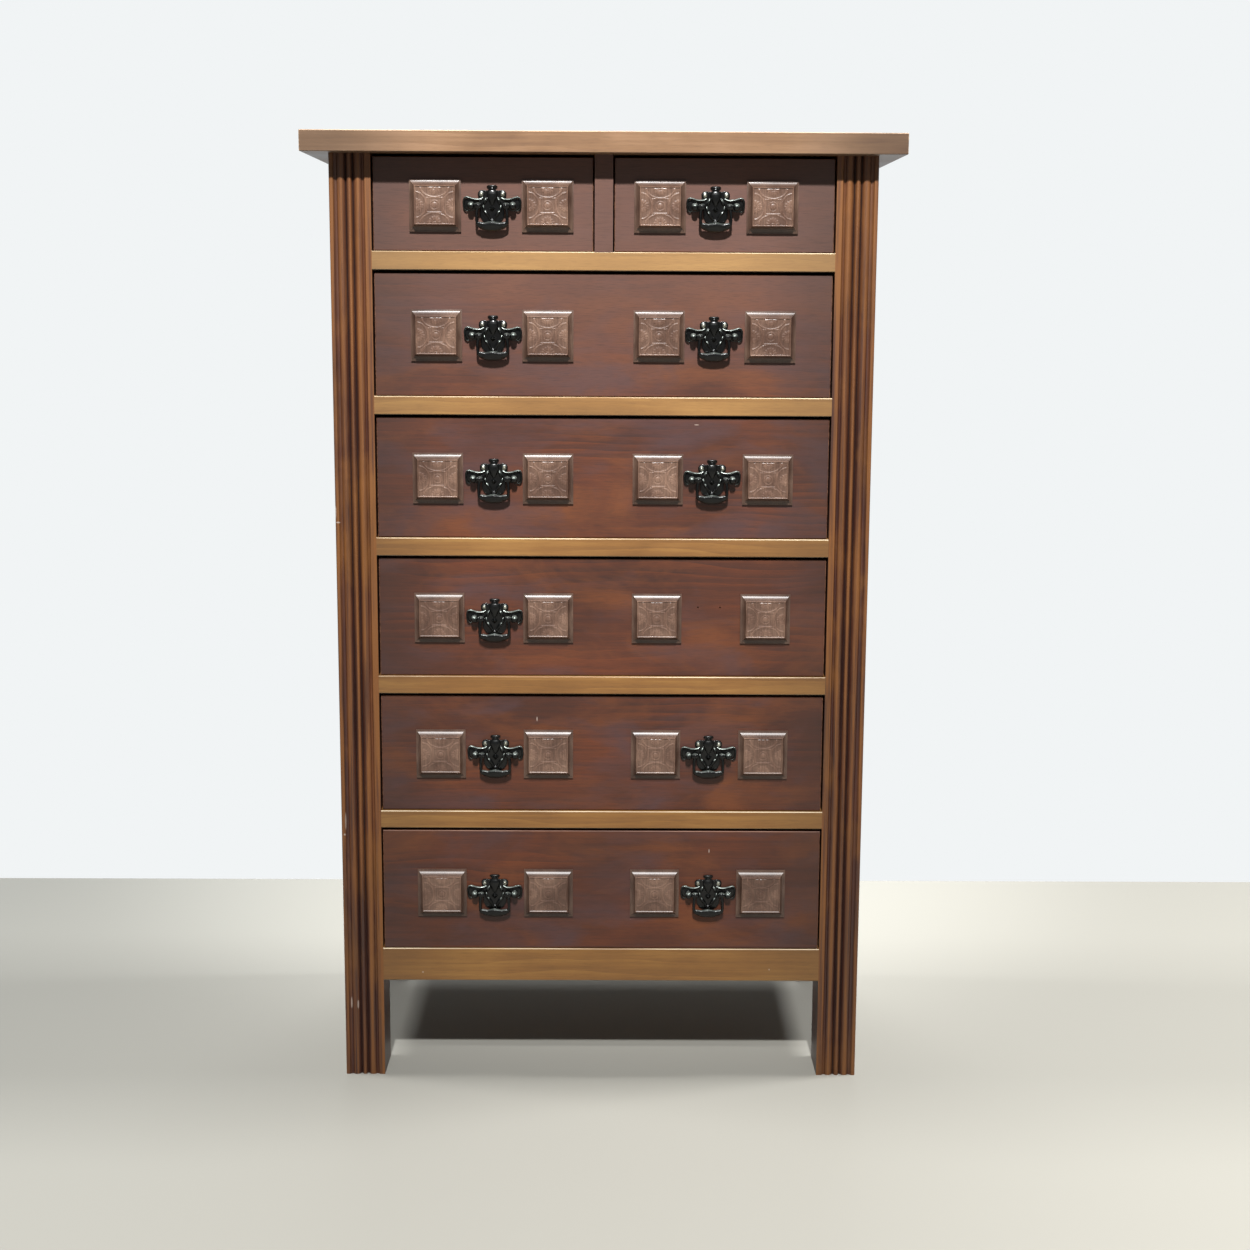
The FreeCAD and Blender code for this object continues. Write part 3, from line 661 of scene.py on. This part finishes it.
def scuffed(material, colour, place, mark):
    """One pale scuff on the front."""
    x, z, half_x, half_z = mark
    scale = (1 / (half_x * MM), 1 / (MARK_DEPTH * MM), 1 / (half_z * MM))
    middle = (x * MM, MARK_PLANE * MM, z * MM)
    apart = node(material, "VectorMath", {0: place, 1: middle}, operation="SUBTRACT").outputs[0]
    apart = node(material, "VectorMath", {0: apart, 1: scale}, operation="MULTIPLY").outputs[0]
    apart = node(material, "VectorMath", {0: apart}, operation="LENGTH").outputs["Value"]
    scuff = node(material, "MapRange", {"Value": apart, "From Min": 0.7, "From Max": 1.0, "To Min": 0.8,
                                        "To Max": 0.0}).outputs[0]
    return node(material, "Mix", {0: scuff, 6: colour, 7: MARK_COLOUR}, data_type="RGBA").outputs[2]


def stained_wood(name, grain, colours, ring_mm, ring_show, mottle_show, streak_show, roughness, worn, coat,
                 pitch=182.0, pore=0.88, groove=None, clouds=(), painted_top_light=None, dark_ends=None, marks=()):
    """Stained and varnished wood: growth rings, streaks, pores and blotchy stain, in colours dark to pale.

    grain is the axis that the fibres follow, pitch the height after which another board starts, and pore how
    dark the pores are. worn is the colour of rubbed places, groove that of the grime and painted shade
    between reeds, and clouds those that drift through the stain. The painted light and sheen that make it
    paler higher up are given as (colour, from, to, share). dark_ends gives how much darker it is towards both
    sides, as (from, to, factor), and marks are the scuffs on its front.
    """
    material, shader = new_material(name)
    place = node(material, "TexCoord").outputs["Object"]
    split = node(material, "SeparateXYZ", {0: place}).outputs
    local = board_place(material, place, split["Z"], grain, pitch)
    rings = growth_rings(material, local, ring_mm)
    streaks, fibres, blotches, patches = [along_grain(material, local, pattern)["Fac"]
                                          for pattern in (STREAKS, FIBRES, BLOTCHES, RING_PATCHES)]
    shown = node(material, "MapRange", {"Value": patches, "From Min": 0.48, "From Max": 0.68, "To Min": 0.1,
                                        "To Max": ring_show}).outputs[0]
    # Rings, streaks and blotches swing the tone to both sides of 0.5. A noise stays close to it, so its swing
    # is stretched.
    tone = 0.5
    for source, share in ((rings, shown), (streaks, streak_show * 2.2), (blotches, mottle_show * 2.6)):
        centred = node(material, "Math", {0: source, 1: 0.5}, operation="SUBTRACT").outputs[0]
        tone = node(material, "Math", {0: centred, 1: share, 2: tone}, operation="MULTIPLY_ADD").outputs[0]
    stops = [(position, linear(code)) for position, code in zip((0.1, 0.5, 0.9), colours)]
    colour = node(material, "ValToRGB", {0: tone}, stops=stops).outputs["Color"]
    for number, code in enumerate(clouds):
        # Drifts 150 mm long and 60 mm high, where the stain took otherwise.
        drift = node(material, "Mapping", {"Vector": local, "Location": (7.0 * number, 3.0, 5.0),
                                           "Scale": (6.5, 16.0, 16.0)}).outputs[0]
        drift = node(material, "TexNoise", {"Vector": drift, "Scale": 1.0, "Detail": 4.0, "Roughness": 0.6,
                                            "Distortion": 0.6}).outputs["Fac"]
        drift = node(material, "MapRange", {"Value": drift, "From Min": 0.47, "From Max": 0.68,
                                            "To Max": 0.75}).outputs[0]
        colour = node(material, "Mix", {0: drift, 6: colour, 7: linear(code)}, data_type="RGBA").outputs[2]
    # Painted light and sheen: the wood is paler and greyer higher up.
    if painted_top_light:
        code, low, high, share = painted_top_light
        top_light_share = node(material, "MapRange", {"Value": split["Z"], "From Min": low * MM, "From Max": high * MM,
                                             "To Max": share}).outputs[0]
        colour = node(material, "Mix", {0: top_light_share, 6: colour, 7: linear(code)}, data_type="RGBA").outputs[2]
    if dark_ends:
        inner, outer, factor = dark_ends
        aside = node(material, "Math", {0: split["X"]}, operation="ABSOLUTE").outputs[0]
        aside = node(material, "Math", {0: blotches, 1: ENDS_WANDER * MM, 2: aside},
                     operation="MULTIPLY_ADD").outputs[0]
        ends_darkening = node(material, "MapRange", {"Value": aside, "From Min": (inner + ENDS_WANDER / 2) * MM,
                                             "From Max": (outer + ENDS_WANDER / 2) * MM, "To Min": 1.0,
                                             "To Max": factor}, interpolation_type="SMOOTHSTEP").outputs[0]
        colour = node(material, "VectorMath", {0: colour, 1: ends_darkening}, operation="MULTIPLY").outputs[0]
    pores = node(material, "MapRange", {"Value": fibres, "From Min": 0.32, "From Max": 0.5, "To Min": pore,
                                        "To Max": 1.03}).outputs[0]
    colour = node(material, "VectorMath", {0: colour, 1: pores}, operation="MULTIPLY").outputs[0]
    if groove:
        colour = reeds(material, colour, split["Y"], streaks, worn, groove)
    else:
        colour = rubbed_arrises(material, colour, streaks, worn)
    for mark in marks:
        colour = scuffed(material, colour, place, mark)
    gloss = node(material, "MapRange", {"Value": blotches, "From Min": 0.3, "From Max": 0.7,
                                        "To Min": roughness - 0.06, "To Max": roughness + 0.06}).outputs[0]
    bump = node(material, "Bump", {"Height": fibres, "Strength": 0.12, "Distance": 0.0004}).outputs[0]
    feed(material, shader, {"Base Color": colour, "Roughness": gloss, "Normal": bump, "Coat Weight": coat,
                            "Coat Roughness": 0.5})
    return material


def make_woods():
    """The woods of the chest, by material slot, and the board's own."""
    woods = {}
    # Beech stained honey and varnished: straight pale grain, a soft shine, rubbed pale along the arrises.
    woods["honey_wood"] = stained_wood(
        "honey_stained_beech", "X", ("6C461B", "895D28", "A37639"), ring_mm=14, ring_show=0.3,
        mottle_show=0.45, streak_show=0.25, roughness=0.52, worn="D8C4A0", coat=0.7,
        painted_top_light=("B8935E", 800, 1110, 0.4), dark_ends=(150, 300, 0.75), marks=RAIL_MARKS)
    # The same wood in a redder, blotchy stain on the posts and sides, with black-brown grooves between reeds
    # from grime and painted shade.
    woods["post_wood"] = stained_wood(
        "brown_stained_beech", "Z", ("2A0E06", "431C0B", "683A16"), ring_mm=20, ring_show=0.3,
        mottle_show=0.6, streak_show=0.7, roughness=0.5, worn="865422", coat=0.4, pitch=5000, groove="240D07",
        clouds=("7E5020", "34120A"), painted_top_light=("74482A", 900, 1200, 0.45), marks=POST_MARKS)
    # Walnut veneer stained red-brown: drifting figure, dark pores, satin varnish, darker towards both ends.
    woods["drawer_wood"] = stained_wood(
        "red_stained_walnut", "X", ("381606", "4B2008", "622D0D"), ring_mm=11, ring_show=0.6,
        mottle_show=0.55, streak_show=0.35, roughness=0.55, worn="8A6048", coat=0.35, pore=0.78,
        clouds=("6E3A16", "4A3030"), painted_top_light=("644438", 900, 1110, 0.75), dark_ends=(190, 290, 0.66),
        marks=DRAWER_MARKS)
    # Pinewood left bare inside the chest.
    woods["inner_wood"] = stained_wood(
        "bare_pine", "Y", ("A98056", "C9A477", "DDBE93"), ring_mm=12, ring_show=0.45, mottle_show=0.25,
        streak_show=0.35, roughness=0.7, worn="DDBE93", coat=0)
    # Plywood left bare behind the chest and under the drawers.
    woods["back_board"] = stained_wood(
        "bare_plywood", "X", ("8A6440", "A98058", "C29A6E"), ring_mm=26, ring_show=0.35, mottle_show=0.25,
        streak_show=0.25, roughness=0.75, worn="A98058", coat=0)
    # The board's own beech: the same honey stain, gone pinkish and lighter in the middle.
    woods["top_board"] = stained_wood(
        "pink_honey_stained_beech", "X", ("6C4A2E", "866240", "9E7856"), ring_mm=16, ring_show=0.4,
        mottle_show=0.7, streak_show=0.35, roughness=0.52, worn="C8A684", coat=0.6, pitch=5000,
        dark_ends=(200, 350, 0.53))
    return woods


def make_block_wood():
    """Pressed and stained block: pinkish brown, darker in the cuts, painted darker on the slope as shade, and
    rubbed pale on the high places.
    """
    material, shader = new_material("carved_block_wood")
    place = node(material, "TexCoord").outputs["Object"]
    cut = node(material, "Attribute", attribute_name="carving").outputs["Fac"]
    drawn = node(material, "VectorMath", {0: place, 1: (900.0, 500.0, 60.0)}, operation="MULTIPLY").outputs[0]
    streaks = node(material, "TexNoise", {"Vector": drawn, "Scale": 1.0, "Detail": 2.0}).outputs["Fac"]
    blotches = node(material, "TexNoise", {"Vector": place, "Scale": 28.0, "Detail": 2.0}).outputs["Fac"]
    tone = node(material, "Math", {0: streaks, 1: 0.35}, operation="MULTIPLY").outputs[0]
    tone = node(material, "Math", {0: blotches, 1: 0.65, 2: tone}, operation="MULTIPLY_ADD").outputs[0]
    stops = ((0.36, linear("583E31")), (0.5, linear("705445")), (0.64, linear("8A6C5A")))
    colour = node(material, "ValToRGB", {0: tone}, stops=stops).outputs["Color"]
    # Darkens the slope as painted shade, and the cuts more than the high carving.
    slope_shade_and_carving = node(material, "MapRange", {"Value": cut, "From Min": 0.0, "From Max": 0.5, "To Min": 0.5,
                                         "To Max": 1.0}).outputs[0]
    colour = node(material, "VectorMath", {0: colour, 1: slope_shade_and_carving}, operation="MULTIPLY").outputs[0]
    bump = node(material, "Bump", {"Height": streaks, "Strength": 0.2, "Distance": 0.0003}).outputs[0]
    feed(material, shader, {"Base Color": colour, "Normal": bump, "Roughness": 0.5, "Specular IOR Level": 0.2,
                            "Coat Weight": 0.8, "Coat Roughness": 0.34})
    return material


def make_iron():
    """Cast iron, blackened and oiled: black in its hollows, grey where hands rub it and as a painted
    highlight on its upper sides, with small lights.
    """
    material, shader = new_material("blackened_cast_iron")
    place = node(material, "TexCoord").outputs["Object"]
    # The grey read here is rub with a painted highlight on what looks up.
    rubbed = node(material, "Attribute", attribute_name="rubbed").outputs["Fac"]
    grit = node(material, "TexNoise", {"Vector": place, "Scale": 700.0, "Detail": 3.0}).outputs["Fac"]
    patches = node(material, "TexNoise", {"Vector": place, "Scale": 160.0, "Detail": 2.0}).outputs["Fac"]
    high = node(material, "Math", {0: patches, 1: 0.6, 2: -0.3}, operation="MULTIPLY_ADD").outputs[0]
    high = node(material, "Math", {0: rubbed, 1: high}, operation="ADD", use_clamp=True).outputs[0]
    stops = ((0.0, linear("080808")), (0.45, linear("141615")), (1.0, linear("7E8680")))
    colour = node(material, "ValToRGB", {0: high}, stops=stops).outputs["Color"]
    gloss = node(material, "MapRange", {"Value": grit, "From Min": 0.3, "From Max": 0.7, "To Min": 0.3,
                                        "To Max": 0.42}).outputs[0]
    bump = node(material, "Bump", {"Height": grit, "Strength": 0.2, "Distance": 0.0004}).outputs[0]
    feed(material, shader, {"Base Color": colour, "Roughness": gloss, "Normal": bump, "Metallic": 0.7,
                            "Coat Weight": 0.4, "Coat Roughness": 0.24})
    return material


def make_brass():
    """Brassed steel nail heads, dulled by age."""
    material, shader = new_material("dull_brassed_nails")
    place = node(material, "TexCoord").outputs["Object"]
    tarnish = node(material, "TexNoise", {"Vector": place, "Scale": 400.0, "Detail": 2.0}).outputs["Fac"]
    stops = ((0.35, linear("66665A")), (0.65, linear("ACACA0")))
    colour = node(material, "ValToRGB", {0: tarnish}, stops=stops).outputs["Color"]
    feed(material, shader, {"Base Color": colour, "Metallic": 1.0, "Roughness": 0.42})
    return material


finishes = make_woods()
finishes["block_wood"] = make_block_wood()
finishes["dark_iron"] = make_iron()
brass = make_brass()
for part in frame["record"]["subparts"]:
    # The board has a finish of its own, and every other part that of its slot.
    finish = finishes.get(part["node"], finishes[part["material_slot"]])
    for entry in nodes[part["node"]].material_slots:
        entry.material = finish

block = make_block()
casting = make_casting()
bail = make_bail()
nails = make_nails()
for drawer in DRAWERS:
    # The construction's blocks give the drawer's face and the row's middle, its bails the pulls' places.
    low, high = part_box(drawer + "_blocks")
    face, middle = high.y / MM, (low.z + high.z) / 2 / MM
    block_places = [(x, face, middle) for x in BLOCK_PLACES if low.x / MM < x < high.x / MM]
    bails = sorted(name for name in nodes if name.startswith(drawer + "_bail"))
    pull_places = [((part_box(name)[0].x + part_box(name)[1].x) / 2 / MM, face, middle) for name in bails]
    set_down(block, drawer + "_carved_blocks", drawer, block_places, drawer + "_blocks",
             finishes["block_wood"])
    set_down(casting, drawer + "_castings", drawer, pull_places, drawer + "_pull_plates",
             finishes["dark_iron"])
    set_down(nails, drawer + "_nail_heads", drawer, pull_places, None, brass)
    for name, place in zip(bails, pull_places):
        set_down(bail, name + "_handle", name, [place], name, finishes["dark_iron"])
for pattern in (block, casting, bail, nails):
    bpy.data.objects.remove(pattern)


# Floor, wall, lamps and camera, in m.

GROUND_SIZE = 14
WALL_BACK = 0.695
WALL_MIDDLE = 5
FLOOR_COLOUR = linear("C4C1B6")
FLOOR_SHADED_COLOUR = linear("969690")
FLOOR_LENT_COLOUR = linear("4E4C48")
WALL_COLOUR = linear("F1F4F5")
ROOM_COLOUR = linear("E4E8EB")
# How much of the room's light reaches what isn't looked at, and how much is mirrored.
ROOM_LENT = 0.04
ROOM_MIRRORED = 0.3


def make_floor():
    """A pale floor with painted shade, greyer to the left and towards the wall, that lends the chest little
    light.
    """
    put_tools_down()
    bpy.ops.mesh.primitive_plane_add(size=GROUND_SIZE)
    floor = bpy.context.object
    floor.name = "floor"
    paint, shader = new_material("pale_floor")
    spot = node(paint, "SeparateXYZ", {0: node(paint, "TexCoord").outputs["Object"]}).outputs
    # Painted shade: the floor is greyer to the left and towards the wall.
    painted_light_share = node(paint, "Math", {0: spot["X"], 1: 0.29, 2: 0.48}, operation="MULTIPLY_ADD").outputs[0]
    painted_light_share = node(paint, "Math", {0: spot["Y"], 1: -0.27, 2: painted_light_share}, operation="MULTIPLY_ADD",
                use_clamp=True).outputs[0]
    pale = node(paint, "Mix", {0: painted_light_share, 6: FLOOR_SHADED_COLOUR, 7: FLOOR_COLOUR}, data_type="RGBA").outputs[2]
    seen = looked_at(paint)
    pale = node(paint, "Mix", {0: seen, 6: FLOOR_LENT_COLOUR, 7: pale}, data_type="RGBA").outputs[2]
    feed(paint, shader, {"Base Color": pale, "Roughness": 0.75})
    floor.data.materials.append(paint)
    return floor


def make_wall():
    """A pale, even wall that is clear from behind and takes no part in lighting the chest."""
    put_tools_down()
    bpy.ops.mesh.primitive_plane_add(size=GROUND_SIZE, location=(0, WALL_BACK, WALL_MIDDLE),
                                     rotation=(math.pi / 2, 0, 0))
    wall = bpy.context.object
    wall.name = "wall"
    paint, shader = new_material("pale_wall")
    feed(paint, shader, {"Base Color": WALL_COLOUR, "Roughness": 0.9})
    glow = node(paint, "Emission", {"Color": WALL_COLOUR, "Strength": 1.0}).outputs[0]
    plain = node(paint, "MixShader", {0: looked_at(paint), 1: shader.outputs[0], 2: glow}).outputs[0]
    clear = node(paint, "BsdfTransparent").outputs[0]
    behind = node(paint, "NewGeometry").outputs["Backfacing"]
    plain = node(paint, "MixShader", {0: behind, 1: plain, 2: clear}).outputs[0]
    feed(paint, paint.node_tree.nodes["Material Output"], {"Surface": plain})
    wall.data.materials.append(paint)
    wall.visible_shadow = False
    wall.visible_diffuse = False
    return wall


def make_room():
    """The room in front: dim in the varnish and the iron, and pale as a background."""
    room = bpy.data.worlds.new("studio")
    room.use_nodes = True
    share = node(room, "MapRange", {"Value": looked_at(room), "To Min": ROOM_LENT,
                                    "To Max": ROOM_MIRRORED}).outputs[0]
    seen = node(room, "LightPath").outputs["Is Camera Ray"]
    share = node(room, "Math", {0: share, 1: seen}, operation="MAXIMUM").outputs[0]
    feed(room, room.node_tree.nodes["Background"], {"Strength": share, "Color": ROOM_COLOUR})
    return room


def add_to_scene(name, data):
    """Puts a lamp or a camera in the scene."""
    holder = bpy.data.objects.new(name, data)
    scene.collection.objects.link(holder)
    return holder


def lamp(name, kind, place, aim, power, **settings):
    """Adds a lamp at a place, turned towards its aim."""
    light = bpy.data.lights.new(name, kind)
    light.energy = power
    for key, value in settings.items():
        setattr(light, key, value)
    holder = add_to_scene(name, light)
    holder.location = place
    holder.visible_camera = False
    holder.rotation_euler = (Vector(aim) - Vector(place)).to_track_quat("-Z", "Y").to_euler()


scene = bpy.context.scene
floor = make_floor()
wall = make_wall()
scene.world = make_room()

# Two lamps from the same high place in front make one crisp shadow. The narrow one favours the upper rows.
KEY_AIM = (0.0, -0.18, 1.35)
lamp("key", "SUN", (0.0, -3.6, 5.104), KEY_AIM, 2.6, angle=math.radians(2))
lamp("upper_key", "SPOT", (0.0, -4.88, 6.51), KEY_AIM, 3100, spot_size=math.radians(13.8), spot_blend=1.0,
     shadow_soft_size=0.12)
# High soft lamps at both sides and behind light the floor round the chest.
for name, side, power in (("left_softbox", -1, 98), ("right_softbox", 1, 144)):
    lamp(name, "AREA", (side * 2.4, 0.1, 4.7), (side * 0.3, 0.1, 0.7), power, shape="RECTANGLE", size=0.8,
         size_y=1.0)
lamp("back_softbox", "AREA", (0.0, 2.0, 4.8), (0.0, 0.2, 0.8), 55, shape="RECTANGLE", size=1.6, size_y=1.6)

# The camera, as fitted to the photograph: its turn to the left, tilt down and roll, then its place and lens.
TURN, DOWN, ROLL = math.radians(-0.43), math.radians(9.783), math.radians(0.32)
CAMERA_PLACE = (0.011, -2.6384, 1.0434)
LENS_MM = 55.07
SENSOR_MM = 36
FARTHEST = 60
level = Vector((-math.sin(TURN), math.cos(TURN), 0))
side_on = Vector((math.cos(TURN), math.sin(TURN), 0))
ahead = level * math.cos(DOWN) - Vector((0, 0, 1)) * math.sin(DOWN)
upwards = level * math.sin(DOWN) + Vector((0, 0, 1)) * math.cos(DOWN)
right = side_on * math.cos(ROLL) + upwards * math.sin(ROLL)
top = upwards * math.cos(ROLL) - side_on * math.sin(ROLL)
lens = bpy.data.cameras.new("camera")
lens.lens = LENS_MM
lens.sensor_width = SENSOR_MM
lens.clip_end = FARTHEST
camera = add_to_scene("camera", lens)
camera.matrix_world = Matrix((right, top, -ahead)).transposed().to_4x4()
camera.location = CAMERA_PLACE
scene.camera = camera
scene.view_settings.view_transform = "Standard"
